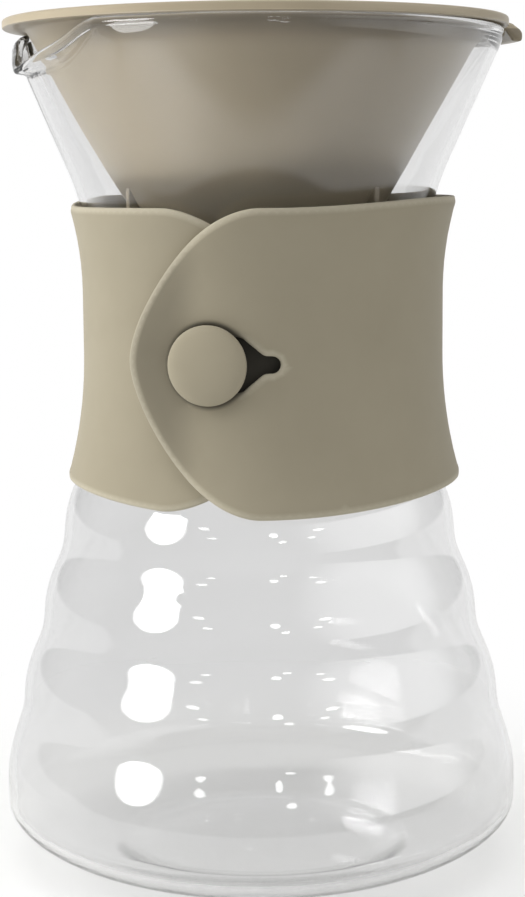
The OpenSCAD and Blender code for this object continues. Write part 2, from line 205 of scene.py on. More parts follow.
def makeSilicone(name, lift, ringShade):  # compression-moulded silicone: matte, greige, with a painted highlight along its edges and painted shade round the button and behind the curl
    material, tree = newMaterial(name)
    place = addNode(tree, "ShaderNodeTexCoord")
    cloud = addNode(tree, "ShaderNodeTexNoise", inputs={
        "Vector": place.outputs["Object"], "Scale": siliconeLook["cloudScale"],
        "Detail": 3.0, "Roughness": 0.6})
    tint = addNode(tree, "ShaderNodeMix", mixColors, {
        0: cloud, 6: hexColor(siliconeLook["dark"]), 7: hexColor(siliconeLook["light"])})
    # Painted highlight: paler along the rounded edges, where they catch the light
    edge = addNode(tree, "ShaderNodeAttribute", {"attribute_name": "edgeHighlightMask"})
    rim = addNode(tree, "ShaderNodeMath", multiply, {0: edge.outputs["Fac"], 1: siliconeLook["edgeHighlightShare"]})
    # Painted shade in the hollow behind the curled end of the flap
    curl = addNode(tree, "ShaderNodeAttribute", {"attribute_name": "hollow"})
    curlShadeShare = addNode(tree, "ShaderNodeMath", multiply, {
        0: curl.outputs["Fac"], 1: siliconeLook["hollowShade"]})
    shaded = addNode(tree, "ShaderNodeMix", mixColors, {
        0: curlShadeShare, 6: tint.outputs[2], 7: hexColor(siliconeLook["shadow"])})
    highlighted = addNode(tree, "ShaderNodeMix", mixColors, {
        0: rim, 6: shaded.outputs[2], 7: hexColor(siliconeLook["rim"])})
    tone = addNode(tree, "ShaderNodeHueSaturation", inputs={"Value": lift, "Color": highlighted.outputs[2]})
    grain = addNode(tree, "ShaderNodeTexNoise", inputs={
        "Vector": place.outputs["Object"], "Scale": 1000 / siliconeLook["grain"],
        "Detail": 3.0, "Roughness": 0.7})
    bump = addNode(tree, "ShaderNodeBump", inputs={
        "Strength": 0.35, "Distance": siliconeLook["grainDepth"] / 1000, "Height": grain})
    # Painted shade in the keyhole and round the head of the button
    shade = addNode(tree, "ShaderNodeMath", {"operation": "MAXIMUM"}, {
        0: recessShadow(tree, place), 1: contactShadow(tree, place, ringShade)})
    base = addNode(tree, "ShaderNodeMix", mixColors, {
        0: shade, 6: tone, 7: hexColor(siliconeLook["shadow"])})
    shader = addNode(tree, "ShaderNodeBsdfPrincipled", inputs={
        "Base Color": base.outputs[2], "Roughness": siliconeLook["roughness"], "IOR": 1.41,
        "Sheen Weight": 0.05, "Sheen Roughness": 0.5, "Normal": bump.outputs["Normal"]})
    addNode(tree, "ShaderNodeOutputMaterial", inputs={"Surface": shader})
    return material


def recessShadow(tree, place):  # painted shade: darkens the walls of the keyhole and the layer below it
    level = addNode(tree, "ShaderNodeVectorMath", multiply, {0: place.outputs["Object"], 1: (1, 1, 0)})
    depth = addNode(tree, "ShaderNodeVectorMath", {"operation": "LENGTH"}, {0: level})
    deep = addNode(tree, "ShaderNodeMapRange", smooth, {
        0: depth.outputs["Value"], 1: siliconeLook["recessFloor"] / 1000,
        2: siliconeLook["recessMouth"] / 1000, 3: 1.0, 4: 0.0})
    middle = [c / 1000 for c in (*siliconeLook["recessMiddle"], buttonSpot["height"])]
    away = addNode(tree, "ShaderNodeVectorMath", {"operation": "DISTANCE"}, {
        0: place.outputs["Object"], 1: middle})
    near, far = siliconeLook["recessReach"]
    spread = addNode(tree, "ShaderNodeMapRange", smooth, {
        0: away.outputs["Value"], 1: near / 1000, 2: far / 1000, 3: siliconeLook["recessShade"], 4: 0.0})
    return addNode(tree, "ShaderNodeMath", multiply, {0: deep, 1: spread})


def contactShadow(tree, place, share):  # painted contact shadow: darkens a ring round the axis of the button, in front only
    a = math.radians(buttonSpot["azimuth"])
    fromSpot = addNode(tree, "ShaderNodeVectorMath", {"operation": "SUBTRACT"}, {
        0: place.outputs["Object"], 1: (0, 0, buttonSpot["height"] / 1000)})
    aside = addNode(tree, "ShaderNodeVectorMath", {"operation": "CROSS_PRODUCT"}, {
        0: fromSpot, 1: (math.sin(a), -math.cos(a), 0)})
    spread = addNode(tree, "ShaderNodeVectorMath", {"operation": "LENGTH"}, {0: aside})
    near, far = siliconeLook["ringReach"]
    ring = addNode(tree, "ShaderNodeMapRange", smooth, {
        0: spread.outputs["Value"], 1: near / 1000, 2: far / 1000, 3: share, 4: 0.0})
    axes = addNode(tree, "ShaderNodeSeparateXYZ", inputs={0: place.outputs["Object"]})
    front = addNode(tree, "ShaderNodeMath", {"operation": "LESS_THAN"}, {0: axes.outputs["Y"], 1: 0.0})
    return addNode(tree, "ShaderNodeMath", multiply, {0: ring, 1: front})


glassMaterial = makeGlass()
plasticMaterial = makePlastic()
siliconeMaterial = makeSilicone("mouldedSilicone", 1.0, siliconeLook["ringShade"])
buttonMaterial = makeSilicone("mouldedSiliconeButton", siliconeLook["buttonLift"], 0.0)
print("materials made")


def makeObject(name, points, faces, material):  # points in mm, in the shared frame
    mesh = bpy.data.meshes.new(name)
    mesh.from_pydata([(x / 1000, y / 1000, z / 1000) for x, y, z in points], [], faces)
    mesh.materials.append(material)
    mesh.update()
    mesh.shade_smooth()
    piece = bpy.data.objects.new(name, mesh)
    bpy.context.scene.collection.objects.link(piece)
    return piece


def turnColumns(columns, closed=False):  # azimuths and outlines; unclosed ones start and end on the axis
    count = len(columns[0][1])
    points, faces = [], []
    if not closed:
        points += [(0, 0, columns[0][1][0][1]), (0, 0, columns[0][1][-1][1])]
    first = len(points)
    inner = range(count) if closed else range(1, count - 1)
    for azimuth, outline in columns:
        a = math.radians(azimuth)
        points += [(outline[i][0] * math.sin(a), -outline[i][0] * math.cos(a), outline[i][1]) for i in inner]
    m = len(inner)
    for j in range(len(columns)):
        here, there = first + j * m, first + (j + 1) % len(columns) * m
        for i in range(m if closed else m - 1):
            k = (i + 1) % m
            faces.append((here + i, there + i, there + k, here + k))
        if not closed:
            faces += [(0, there, here), (1, here + m - 1, there + m - 1)]
    return points, faces


def roundOutline(corners, steps=5):  # a corner is radius, height and how far before it the rounding starts
    outline = []
    for i, (r, z, cut) in enumerate(corners):
        here = np.array([r, z])
        before, after = (np.array(corners[(i + s) % len(corners)][:2]) for s in (-1, 1))
        if cut <= 0:
            outline.append((r, z))
            continue
        a = here + (before - here) / np.linalg.norm(before - here) * cut
        b = here + (after - here) / np.linalg.norm(after - here) * cut
        for k in range(steps + 1):
            t = k / steps
            outline.append(tuple((1 - t) ** 2 * a + 2 * t * (1 - t) * here + t * t * b))
    return outline


# Glass decanter

glass = {
    "wall": 1.8,
    "floor": 3.0,
    "footRadius": 33.0,
    "footLand": 2.0,
    "pushUp": 1.6,
    "cornerHeight": 15.0,
    "cornerRoundness": 1.4,
    "beltHeight": 5.0,
    "lowRingHeight": 16.4,
    "lowRingBulge": 3.8,
    "lowRingRoundness": 1.12,
    "rings": 3,
    "ringPitch": 19.94,
    "ringBulge": 1.16,
    "ringTaper": 14.74,
    "creaseSoftness": 0.73,
    "neckRadius": 38.9,
    "neckLength": 14.3,
    "shoulderCurve": 104.0,
    "mouthCurve": 75.6,
    "mouthAngle": 24.2,
    "mouthHeight": 30.0,
    "rimRadius": 58.1,
    "beadRadius": 1.3,
    "beadArc": (-15, 195),  # degrees, where the bead of the rim meets the outside and the inside
    "tipBeadRadius": 0.8,
    "tipBeadTilt": 75.0,  # at the tip of the spout the bead lies along the floor of the trough
    "tipAngle": 20.0,  # from the tip to where the bead has its full size
    "tipRounding": 1.2,
    "spoutAzimuth": -70.0,
    "spoutAngle": 32.0,  # half the angle that the spout takes of the rim
    "lipDips": [(0, 9.4), (4, 8.55), (8, 7.4), (13.3, 5.9), (17.5, 4.9),  # mm aside and mm down
                (21, 3.9), (24.3, 2.7), (27, 1.5), (29.5, 0.6), (32, 0)],
    "lipBlend": (0.8, 3.0),  # height over which the wall turns into the bead, at the tip and away from it
    "farLipRadii": [(0, 58.1), (3, 57.6), (6, 57.2), (9, 57.0), (12, 56.85),  # degrees from the tip and mm
                    (15, 56.9), (18, 57.05), (21, 57.35), (24, 57.75), (27, 58.1)],
    "nearPinch": 1.1,
    "keelDepth": 10.7,  # underside of the spout, below the rim
    "keelNarrowing": 0.28,  # mm of radius lost for each degree away from the tip
    "keelRise": 0.05,  # mm of height gained for each degree, up to the next value
    "keelRiseEnd": 24,
    "keelLead": 0.6,
    "keelBlend": 1.0,
    "troughRise": 1.2,  # how much higher the keel is inside
    "leastTrough": 0.4,
    "pressedAngle": 20.3,
    "pressedTurn": 20.8,
    "pressedReach": 55,  # degrees from the spout
    "pressedOffset": 0.1,
    "pressedClear": 0.3,
    "pressedBlend": 0.8,
    "joinHeight": 158.0,  # from here up each column follows the spout
    "joinGap": 0.6,
    "fineStep": 0.6,  # degrees between the columns at the spout
    "coarseStep": 2.0,
}

taper = math.tan(math.radians(glass["ringTaper"]))
flare = math.radians(glass["mouthAngle"])
beltTop = glass["cornerHeight"] + glass["beltHeight"]
lowCrease = beltTop + glass["lowRingHeight"]
topCrease = lowCrease + glass["rings"] * glass["ringPitch"]
neckLow = topCrease + glass["shoulderCurve"] * math.sin(math.radians(glass["ringTaper"]))
neckHigh = neckLow + glass["neckLength"]
mouthLow = neckHigh + glass["mouthCurve"] * math.sin(flare)
rimTop = mouthLow + glass["mouthHeight"]
shoulderDrop = 1 - math.cos(math.radians(glass["ringTaper"]))
topCreaseRadius = glass["neckRadius"] + glass["shoulderCurve"] * shoulderDrop
lowCreaseRadius = topCreaseRadius + glass["rings"] * glass["ringPitch"] * taper
bellyRadius = lowCreaseRadius + glass["lowRingBulge"]
mouthLowRadius = glass["neckRadius"] + glass["mouthCurve"] * (1 - math.cos(flare))


def wallRadius(z):  # outside of the round wall, from the lowest crease up
    if z < topCrease:
        soft = glass["creaseSoftness"]
        wave = math.hypot(math.sin(math.pi * (topCrease - z) / glass["ringPitch"]), soft) - soft
        crown = math.hypot(1, soft) - soft
        return topCreaseRadius + (topCrease - z) * taper + glass["ringBulge"] * wave / crown
    if z < neckLow:
        curve = glass["shoulderCurve"]
        return glass["neckRadius"] + curve - math.sqrt(curve ** 2 - (neckLow - z) ** 2)
    if z < neckHigh:
        return glass["neckRadius"]
    if z < mouthLow:
        curve = glass["mouthCurve"]
        return glass["neckRadius"] + curve - math.sqrt(curve ** 2 - (z - neckHigh) ** 2)
    return mouthLowRadius + (z - mouthLow) * math.tan(flare)


def wallLean(z):
    return math.asin(clamp((z - neckHigh) / glass["mouthCurve"], 0, math.sin(flare)))


def lowerOutline(top):  # outside of the glass from the foot to a height on the mouth
    line = []
    cornerSteps, beltSteps, bulgeSteps, ringSteps, neckSteps = 18, 3, 16, 18, 36
    foot, reach = glass["footRadius"], bellyRadius - glass["footRadius"]
    for i in range(cornerSteps):
        a = math.pi / 2 * (1 - i / cornerSteps)
        out = foot + reach * math.cos(a) ** (2 / glass["cornerRoundness"])
        line.append((out, glass["cornerHeight"] * (1 - math.sin(a))))
    for i in range(beltSteps):
        line.append((bellyRadius, glass["cornerHeight"] + glass["beltHeight"] * i / beltSteps))
    for i in range(bulgeSteps):
        s = 1 - i / bulgeSteps
        bulge = glass["lowRingBulge"] * math.sin(math.pi / 2 * s) ** glass["lowRingRoundness"]
        line.append((lowCreaseRadius + bulge, lowCrease - glass["lowRingHeight"] * s))
    steps = ringSteps * glass["rings"]
    line += [(wallRadius(z), z) for z in np.linspace(lowCrease, topCrease, steps, endpoint=False)]
    line += [(wallRadius(z), z) for z in np.linspace(topCrease, top, neckSteps)]
    return line


def insetOutline(line, depth):
    p = np.array(line)
    run = np.gradient(p, axis=0)
    run /= np.linalg.norm(run, axis=1)[:, None]
    return p + depth * np.stack([-run[:, 1], run[:, 0]], axis=1)


def lipLine(turn):  # radius, height and bead of the rim, and how near the tip is, at a turn from the spout
    t = math.hypot(turn, glass["tipRounding"])
    side = abs(glass["rimRadius"] * math.sin(math.radians(min(t, 90))))
    dip = np.interp(side, *zip(*glass["lipDips"]))
    if turn < 0:
        radius = np.interp(t, *zip(*glass["farLipRadii"]))
    else:
        radius = glass["rimRadius"] - glass["nearPinch"] * math.sin(math.pi * clamp(t / glass["spoutAngle"]))
    near = 1 - smoothStep(t / glass["tipAngle"])
    bead = glass["beadRadius"] + (glass["tipBeadRadius"] - glass["beadRadius"]) * near
    return radius, rimTop - dip, bead, near


def pressedRadius(z, turn):  # the wall, with the two sides below the spout pressed flat
    wall = wallRadius(z)
    if abs(turn) > glass["pressedReach"]:
        return wall
    lean = math.radians(glass["pressedAngle"])
    start = neckHigh + glass["mouthCurve"] * math.sin(lean)
    flat = mouthLowRadius + glass["pressedOffset"] + (z - mouthLow) * math.tan(lean)
    if z < start:
        flat = wall + glass["pressedClear"]
    across = math.cos(math.radians(abs(turn) - glass["pressedTurn"]))
    return softMin(wall, flat / across, glass["pressedBlend"])


def spoutRadius(z, turn, thin, keel, end):  # wall and trough of the spout, up to where the bead starts
    wall = pressedRadius(z, turn) - thin
    if abs(turn) > glass["spoutAngle"] + 1:
        return wall
    keelRadius = glass["rimRadius"] - glass["keelNarrowing"] * abs(turn) - thin
    share = clamp((z - keel) / max(end[1] - keel, glass["leastTrough"]))
    body = keelRadius + (end[0] - keelRadius) * share
    return wall + smoothStep((z - keel + glass["keelLead"]) / glass["keelBlend"]) * max(0, body - wall)


def glassColumn(turn, lower, lowerInner):  # closed outline of the glass at a turn from the spout
    radius, top, bead, near = lipLine(turn)
    tilt = glass["tipBeadTilt"] * near
    start, stop = glass["beadArc"]
    arc = [(radius - bead + bead * math.cos(a), top - bead + bead * math.sin(a))
           for a in np.radians(np.linspace(start - tilt, stop - tilt, 17))]
    keel = rimTop - glass["keelDepth"] + glass["keelRise"] * min(abs(turn), glass["keelRiseEnd"])
    tight, wide = glass["lipBlend"]
    awayFromTip = (abs(turn) - glass["tipAngle"]) / (glass["spoutAngle"] - glass["tipAngle"])
    soft = tight + (wide - tight) * smoothStep(awayFromTip)
    join, wallSteps = glass["joinHeight"], 44
    sides = []
    for end, rise, thick in ((arc[0], 0.0, 0.0), (arc[-1], glass["troughRise"], glass["wall"])):
        endThin = thick / math.cos(wallLean(end[1]))
        gap = end[0] - spoutRadius(end[1], turn, endThin, keel + rise, end)
        line = []
        for k in range(1, wallSteps + 1):
            z = join + (end[1] - join) * (1 - (1 - k / wallSteps) ** 1.6)  # closer together near the bead
            thin = thick / math.cos(wallLean(z))
            pull = clamp(1 - (end[1] - z) / soft) ** 1.3
            line.append((spoutRadius(z, turn, thin, keel + rise, end) + pull * gap, z))
        sides.append(line)
    outside, inside = sides
    land, push = glass["footRadius"] - glass["footLand"], glass["pushUp"]
    under = [(land * s, push * (1 - s * s)) for s in np.linspace(0, 1, 9)]
    edge, middle = lowerInner[-1], push + glass["floor"]
    floor = [(edge[0] * s, middle + (edge[1] - middle) * s * s) for s in np.linspace(1, 0, 10)[1:]]
    return under + lower + outside[:-1] + arc + inside[:-1][::-1] + lowerInner + floor


def makeDecanter():
    top = glass["joinHeight"]
    lower = lowerOutline(top)
    inner = [tuple(p) for p in insetOutline(lower, glass["wall"])[2:] if p[1] < top - glass["joinGap"]]
    reach = glass["spoutAngle"] + 2
    turns = list(np.arange(-reach, reach, glass["fineStep"]))
    turns += list(np.arange(reach + 0.2, 360 - reach - 1.2, glass["coarseStep"]))  # the rest, round the back
    columns = []
    for turn in turns:
        fromSpout = turn if turn < 180 else turn - 360
        columns.append((glass["spoutAzimuth"] + turn, glassColumn(fromSpout, lower, inner[::-1])))
    points, faces = turnColumns(columns)
    return makeObject("glassDecanter", points, faces, glassMaterial)


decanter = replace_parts(makeDecanter(), "glass_decanter")
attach(decanter, "decanter")
print("glass decanter made")


# Cone dripper

dripper = {
    "coneTopRadius": 53.7,
    "halfAngle": 30.0,
    "wall": 2.0,
    "outletRadius": 9.4,
    "outletHeight": 3.4,
    "flangeRadius": 59.0,
    "flangeThickness": 2.2,
    "meshSize": 6.0,  # longest stretch of the outline between two points
    "fins": 3,
    "finAzimuth": -64.0,
    "finRadius": 34.5,
    "finHeight": 33.0,
    "finThickness": 1.9,
    "finLean": 2.2,  # mm that the outer edge of a fin comes in over its height
    "finTopDrop": 3.0,
    "finRoot": 1.0,  # how deep a fin runs into the wall of the cone
    "finCorner": 1.0,
    "finTopStep": 0.2,
    "finBevel": 0.3,
    "ribs": 12,
    "ribWidth": 2.2,
    "ribRise": 1.2,
    "ribTurn": 75.0,
    "ribTopGap": 16.0,
    "tabAzimuth": 104.0,
    "tabWidth": 20.0,
    "tabReach": 4.6,
    "tabDrop": 5.0,
    "tabThickness": 2.6,
    "tabRoot": 2.0,  # how far the tab runs into the flange
    "tabBevel": 0.45,
}

coneSlope = math.tan(math.radians(dripper["halfAngle"]))
coneWall = dripper["wall"] / math.cos(math.radians(dripper["halfAngle"]))
coneLow = rimTop - (dripper["coneTopRadius"] - dripper["outletRadius"] - coneWall) / coneSlope
flangeTop = rimTop + dripper["flangeThickness"]


def coneRadius(z):  # outside of the cone
    return dripper["coneTopRadius"] - (rimTop - z) * coneSlope


def makeConeShell():
    outlet, wall, edge = dripper["outletRadius"], dripper["wall"], dripper["flangeRadius"]
    foot = coneLow - dripper["outletHeight"]
    outline = roundOutline([
        (outlet, foot, 0.5),
        (outlet + wall, foot, 0.5),
        (coneRadius(coneLow), coneLow, 0.4),
        (dripper["coneTopRadius"], rimTop, 0.8),
        (edge, rimTop, 0.55),
        (edge, flangeTop, 0.8),
        (coneRadius(flangeTop) - coneWall, flangeTop, 1.2),
        (outlet, coneLow, 0.6),
    ])
    fine = []
    for (r0, z0), (r1, z1) in zip(outline, outline[1:] + outline[:1]):
        parts = max(1, round(math.hypot(r1 - r0, z1 - z0) / dripper["meshSize"]))
        fine += [(r0 + (r1 - r0) * k / parts, z0 + (z1 - z0) * k / parts) for k in range(parts)]
    points, faces = turnColumns([(a, fine) for a in np.arange(0, 360, 2.5)], closed=True)
    return makeObject("coneShell", points, faces, plasticMaterial)


def bevelEdges(piece, width, steps=3):  # rounds every edge that turns by more than 30 degrees
    form = bmesh.new()
    form.from_mesh(piece.data)
    sharp = [e for e in form.edges if len(e.link_faces) == 2 and e.calc_face_angle() > math.radians(30)]
    bmesh.ops.bevel(form, geom=sharp, offset=width / 1000, segments=steps, profile=0.5, affect="EDGES")
    form.to_mesh(piece.data)
    form.free()
    piece.data.shade_smooth()


def turnFacesOut(piece):
    form = bmesh.new()
    form.from_mesh(piece.data)
    bmesh.ops.recalc_face_normals(form, faces=form.faces)
    form.to_mesh(piece.data)
    form.free()


def turnPiece(piece, azimuth):  # from the +X side, where fins, ribs and tab are made, to an azimuth
    piece.data.transform(Matrix.Rotation(math.radians(azimuth - 90), 4, "Z"))


def makePrism(name, outline, thickness):  # an upright plate on the +X side, its outline in radius and height
    n = len(outline)
    points = [(r, side * thickness / 2, z) for side in (-1, 1) for r, z in outline]
    faces = [tuple(range(n)), tuple(range(2 * n - 1, n - 1, -1))]
    faces += [(i, n + i, n + (i + 1) % n, (i + 1) % n) for i in range(n)]
    piece = makeObject(name, points, faces, plasticMaterial)
    turnFacesOut(piece)
    return piece


def newTree(name, sockets):  # a geometry tree with named inputs and one geometry output
    tree = bpy.data.node_groups.new(name, "GeometryNodeTree")
    tree.interface.new_socket("Geometry", in_out="INPUT", socket_type="NodeSocketGeometry")
    for label, kind in sockets:
        tree.interface.new_socket(label, in_out="INPUT", socket_type=kind)
    tree.interface.new_socket("Geometry", in_out="OUTPUT", socket_type="NodeSocketGeometry")
    return tree, addNode(tree, "NodeGroupInput")


def runTree(piece, tree, values):  # applies the tree and leaves a plain mesh
    modifier = piece.modifiers.new(tree.name, "NODES")
    modifier.node_group = tree
    for item in tree.interface.items_tree:
        if item.in_out == "INPUT" and item.name in values:
            modifier[item.identifier] = values[item.name]
    piece.update_tag()
    shown = piece.evaluated_get(bpy.context.evaluated_depsgraph_get())
    mesh = bpy.data.meshes.new_from_object(shown)
    piece.modifiers.clear()
    piece.data = mesh
    mesh.shade_smooth()
    return piece


def copyRound(tree, start, shape):  # ends a tree with copies of the shape, evenly round the upright axis
    spots = addNode(tree, "GeometryNodePoints", inputs={"Count": start.outputs["Count"]})
    number = addNode(tree, "GeometryNodeInputIndex")
    step = addNode(tree, "ShaderNodeMath", {"operation": "DIVIDE"}, {0: math.tau, 1: start.outputs["Count"]})
    turn = addNode(tree, "ShaderNodeMath", multiply, {0: number, 1: step})
    euler = addNode(tree, "ShaderNodeCombineXYZ", inputs={"Z": turn})
    rotation = addNode(tree, "FunctionNodeEulerToRotation", inputs={0: euler})
    copies = addNode(tree, "GeometryNodeInstanceOnPoints", inputs={
        "Points": spots, "Instance": shape, "Rotation": rotation})
    real = addNode(tree, "GeometryNodeRealizeInstances", inputs={0: copies})
    finish = addNode(tree, "GeometryNodeSetMaterial", inputs={
        "Geometry": real, "Material": start.outputs["Material"]})
    addNode(tree, "NodeGroupOutput", inputs={0: finish})
    return tree


def ringOfCopies():  # copies of the piece itself
    tree, start = newTree("ringOfCopies", [("Count", "NodeSocketInt"), ("Material", "NodeSocketMaterial")])
    return copyRound(tree, start, start.outputs["Geometry"])


def spiralRibs():  # ribs that climb a cone and taper off at both ends
    names = ["Foot radius", "Top radius", "Foot height", "Top height", "Turn", "Width"]
    tree, start = newTree("spiralRibs", [("Count", "NodeSocketInt")] + [(n, "NodeSocketFloat") for n in names]
                          + [("Material", "NodeSocketMaterial")])
    line = addNode(tree, "GeometryNodeCurvePrimitiveLine")
    fine = addNode(tree, "GeometryNodeResampleCurve", inputs={"Curve": line, "Count": 40})
    along = addNode(tree, "GeometryNodeSplineParameter")
    left = addNode(tree, "ShaderNodeMath", {"operation": "SUBTRACT"}, {0: 1.0, 1: along.outputs["Factor"]})
    eased = addNode(tree, "ShaderNodeMath", multiply, {0: left, 1: left})
    share = addNode(tree, "ShaderNodeMath", {"operation": "SUBTRACT"}, {0: 1.0, 1: eased})
    angle = addNode(tree, "ShaderNodeMath", multiply, {0: share, 1: start.outputs["Turn"]})
    radius = addNode(tree, "ShaderNodeMapRange", inputs={
        0: along.outputs["Factor"], 3: start.outputs["Foot radius"], 4: start.outputs["Top radius"]})
    height = addNode(tree, "ShaderNodeMapRange", inputs={
        0: along.outputs["Factor"], 3: start.outputs["Foot height"], 4: start.outputs["Top height"]})
    cosine = addNode(tree, "ShaderNodeMath", {"operation": "COSINE"}, {0: angle})
    sine = addNode(tree, "ShaderNodeMath", {"operation": "SINE"}, {0: angle})
    x = addNode(tree, "ShaderNodeMath", multiply, {0: radius, 1: cosine})
    y = addNode(tree, "ShaderNodeMath", multiply, {0: radius, 1: sine})
    spot = addNode(tree, "ShaderNodeCombineXYZ", inputs={0: x, 1: y, 2: height})
    placed = addNode(tree, "GeometryNodeSetPosition", inputs={"Geometry": fine, "Position": spot})
    both = addNode(tree, "ShaderNodeMath", multiply, {0: left, 1: along.outputs["Factor"]})
    swell = addNode(tree, "ShaderNodeMapRange", smooth, {
        0: both, 2: 0.09, 3: 0.3, 4: 1.0})  # full size from a tenth of the way in
    sized = addNode(tree, "GeometryNodeSetCurveRadius", inputs={"Curve": placed, "Radius": swell})
    ring = addNode(tree, "GeometryNodeCurvePrimitiveCircle", inputs={"Resolution": 12, "Radius": 1.0})
    half = addNode(tree, "ShaderNodeMath", multiply, {0: start.outputs["Width"], 1: 0.5})
    flat = addNode(tree, "ShaderNodeCombineXYZ", inputs={0: half, 1: half, 2: 1.0})
    section = addNode(tree, "GeometryNodeTransform", inputs={"Geometry": ring, "Scale": flat})
    solid = addNode(tree, "GeometryNodeCurveToMesh", inputs={
        "Curve": sized, "Profile Curve": section, "Fill Caps": True})
    return copyRound(tree, start, solid)


def makeFins():
    top = rimTop - (dripper["coneTopRadius"] - dripper["finRadius"]) / coneSlope
    low, root, corner = top - dripper["finHeight"], dripper["finRoot"], dripper["finCorner"]
    top -= dripper["finTopDrop"]
    foot = dripper["finRadius"] - dripper["finLean"]
    edge = min(dripper["finRadius"], coneRadius(top) + dripper["finTopStep"])
    outline = [(coneRadius(low) - root, low), (foot - corner, low), (foot, low + corner),
               (edge, top), (coneRadius(top) - root, top)]
    fin = makePrism("dripperFins", outline, dripper["finThickness"])
    bevelEdges(fin, dripper["finBevel"])
    turnPiece(fin, dripper["finAzimuth"])
    return runTree(fin, ringOfCopies(), {"Count": dripper["fins"], "Material": plasticMaterial})


def makeRibs():
    low, top = coneLow + dripper["ribWidth"], rimTop - dripper["ribTopGap"]
    sunk = dripper["ribWidth"] / 2 - dripper["ribRise"]
    seed = makeObject("dripperRibs", [(0, 0, 0)], [], plasticMaterial)
    ribs = runTree(seed, spiralRibs(), {
        "Count": dripper["ribs"],
        "Foot radius": (coneRadius(low) - coneWall + sunk) / 1000,
        "Top radius": (coneRadius(top) - coneWall + sunk) / 1000,
        "Foot height": low / 1000,
        "Top height": top / 1000,
        "Turn": math.radians(dripper["ribTurn"]),
        "Width": dripper["ribWidth"] / 1000,
        "Material": plasticMaterial,
    })
    turnPiece(ribs, dripper["tabAzimuth"])
    return ribs


def makeTab():  # a tongue that bends down off the flange and keeps the curve of its edge
    edge, end = dripper["flangeRadius"], dripper["flangeRadius"] + dripper["tabReach"]
    low, thick, root = flangeTop - dripper["tabDrop"], dripper["tabThickness"], dripper["tabRoot"]
    outline = [
        (edge - root, flangeTop - 0.3),
        (edge + 0.6, flangeTop - 0.35),
        (edge + 2.2, flangeTop - 0.9),
        (end - 0.6, low + thick + 0.2),
        (end, low + thick - 0.6),
        (end, low + 0.5),
        (end - 0.5, low),
        (end - thick + 0.4, low),
        (end - thick, low + 0.3),
        (edge + 0.2, rimTop),
        (edge - root, rimTop),
    ]
    half, n, spans = dripper["tabWidth"] / 2, len(outline), 16
    sides = [-half + half * 2 * k / spans for k in range(spans + 1)]
    points = [(math.sqrt(r * r - y * y), y, z) for y in sides for r, z in outline]
    faces = []
    for j in range(spans):
        here, there = j * n, (j + 1) * n
        faces += [(here + i, there + i, there + (i + 1) % n, here + (i + 1) % n) for i in range(n)]
    faces += [tuple(range(n)), tuple(range((spans + 1) * n - 1, spans * n - 1, -1))]
    tab = makeObject("gripTab", points, faces, plasticMaterial)
    turnFacesOut(tab)
    bevelEdges(tab, dripper["tabBevel"])
    turnPiece(tab, dripper["tabAzimuth"])
    return tab


def joinPieces(name, pieces):
    form = bmesh.new()
    for piece in pieces:
        form.from_mesh(piece.data)
    mesh = bpy.data.meshes.new(name)
    form.to_mesh(mesh)
    form.free()
    mesh.materials.append(pieces[0].data.materials[0])
    mesh.shade_smooth()
    whole = bpy.data.objects.new(name, mesh)
    bpy.context.scene.collection.objects.link(whole)
    for piece in pieces:
        bpy.data.objects.remove(piece)
    return whole


coneDripper = joinPieces("coneDripper", [makeConeShell(), makeFins(), makeRibs(), makeTab()])
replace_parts(coneDripper, "cone_dripper")
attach(coneDripper, "dripper")
print("cone dripper made")


# Silicone sleeve

sleeve = {
    "thickness": 2.3,
    "clearance": 0.35,
    "layerGap": 0.2,
    "middle": 123.9,
    "lowEdge": 89.8,  # height of the lower edge in front
    "lowRise": (3.0, 80),  # how much higher it is from this many degrees off the front
    "topEdge": 157.4,
    "topRise": (1.8, 5, 290, 60),  # how much higher it is at the back, between two azimuths, with its slopes
    "flapTip": -36.6,  # azimuths of the two ends
    "underTip": 373.0,
    "flapLift": 4.4,  # how far the end of the upper layer curls off the lower one
    "liftFrom": -19.0,  # azimuth where the curl starts
    "hollowFrom": -14.0,  # azimuth where the painted shade under the curl starts
    "hollowSpan": 12.0,
    "flapEnd": 27.0,
    "underEnd": 30.4,
    "endRoundness": 1.7,
    "edgeRounding": 1.5,
    "edgeProfile": [(0, 0), (0.03, 0.24), (0.1, 0.42), (0.3, 0.58), (0.9, 0.94), (1.0, 0.985), (1.15, 1)],
    "edgeRings": (0.05, 0.14, 0.35, 0.62, 0.88, 1.15),  # shares of the rounding where it has points
    "edgeHighlightWidth": (0.55, 0.6),  # shares of the rounding where the painted edge highlight starts to fade, and over which
    "unrollRadius": 42.0,
    "holeRadius": 8.1,
    "slotReach": 15.3,
    "slotWidth": 3.8,
    "shoulderReach": 11.9,  # how far out the two shoulders of the hole run
    "shoulderWidth": 6.0,
    "shoulderSlope": 0.85,
    "shoulderSoftness": 1.31,
    "shoulderBlend": 1.0,
    "slotBlend": 0.5,
    "outlineStep": 1.0,
    "holeStep": 0.7,
    "grid": 3.0,
    "gridGap": 0.8,  # between the rounding and the grid
}


def sleeveEdges(azimuth):  # lower and upper edge of the strap, which rides up a little at the back
    front = abs((azimuth + 180) % 360 - 180)
    lowRise, lowSpan = sleeve["lowRise"]
    topRise, start, stop, span = sleeve["topRise"]
    high = smoothStep((azimuth - start) / span) * smoothStep((stop - azimuth) / span)
    return sleeve["lowEdge"] + lowRise * smoothStep(front / lowSpan), sleeve["topEdge"] + topRise * high


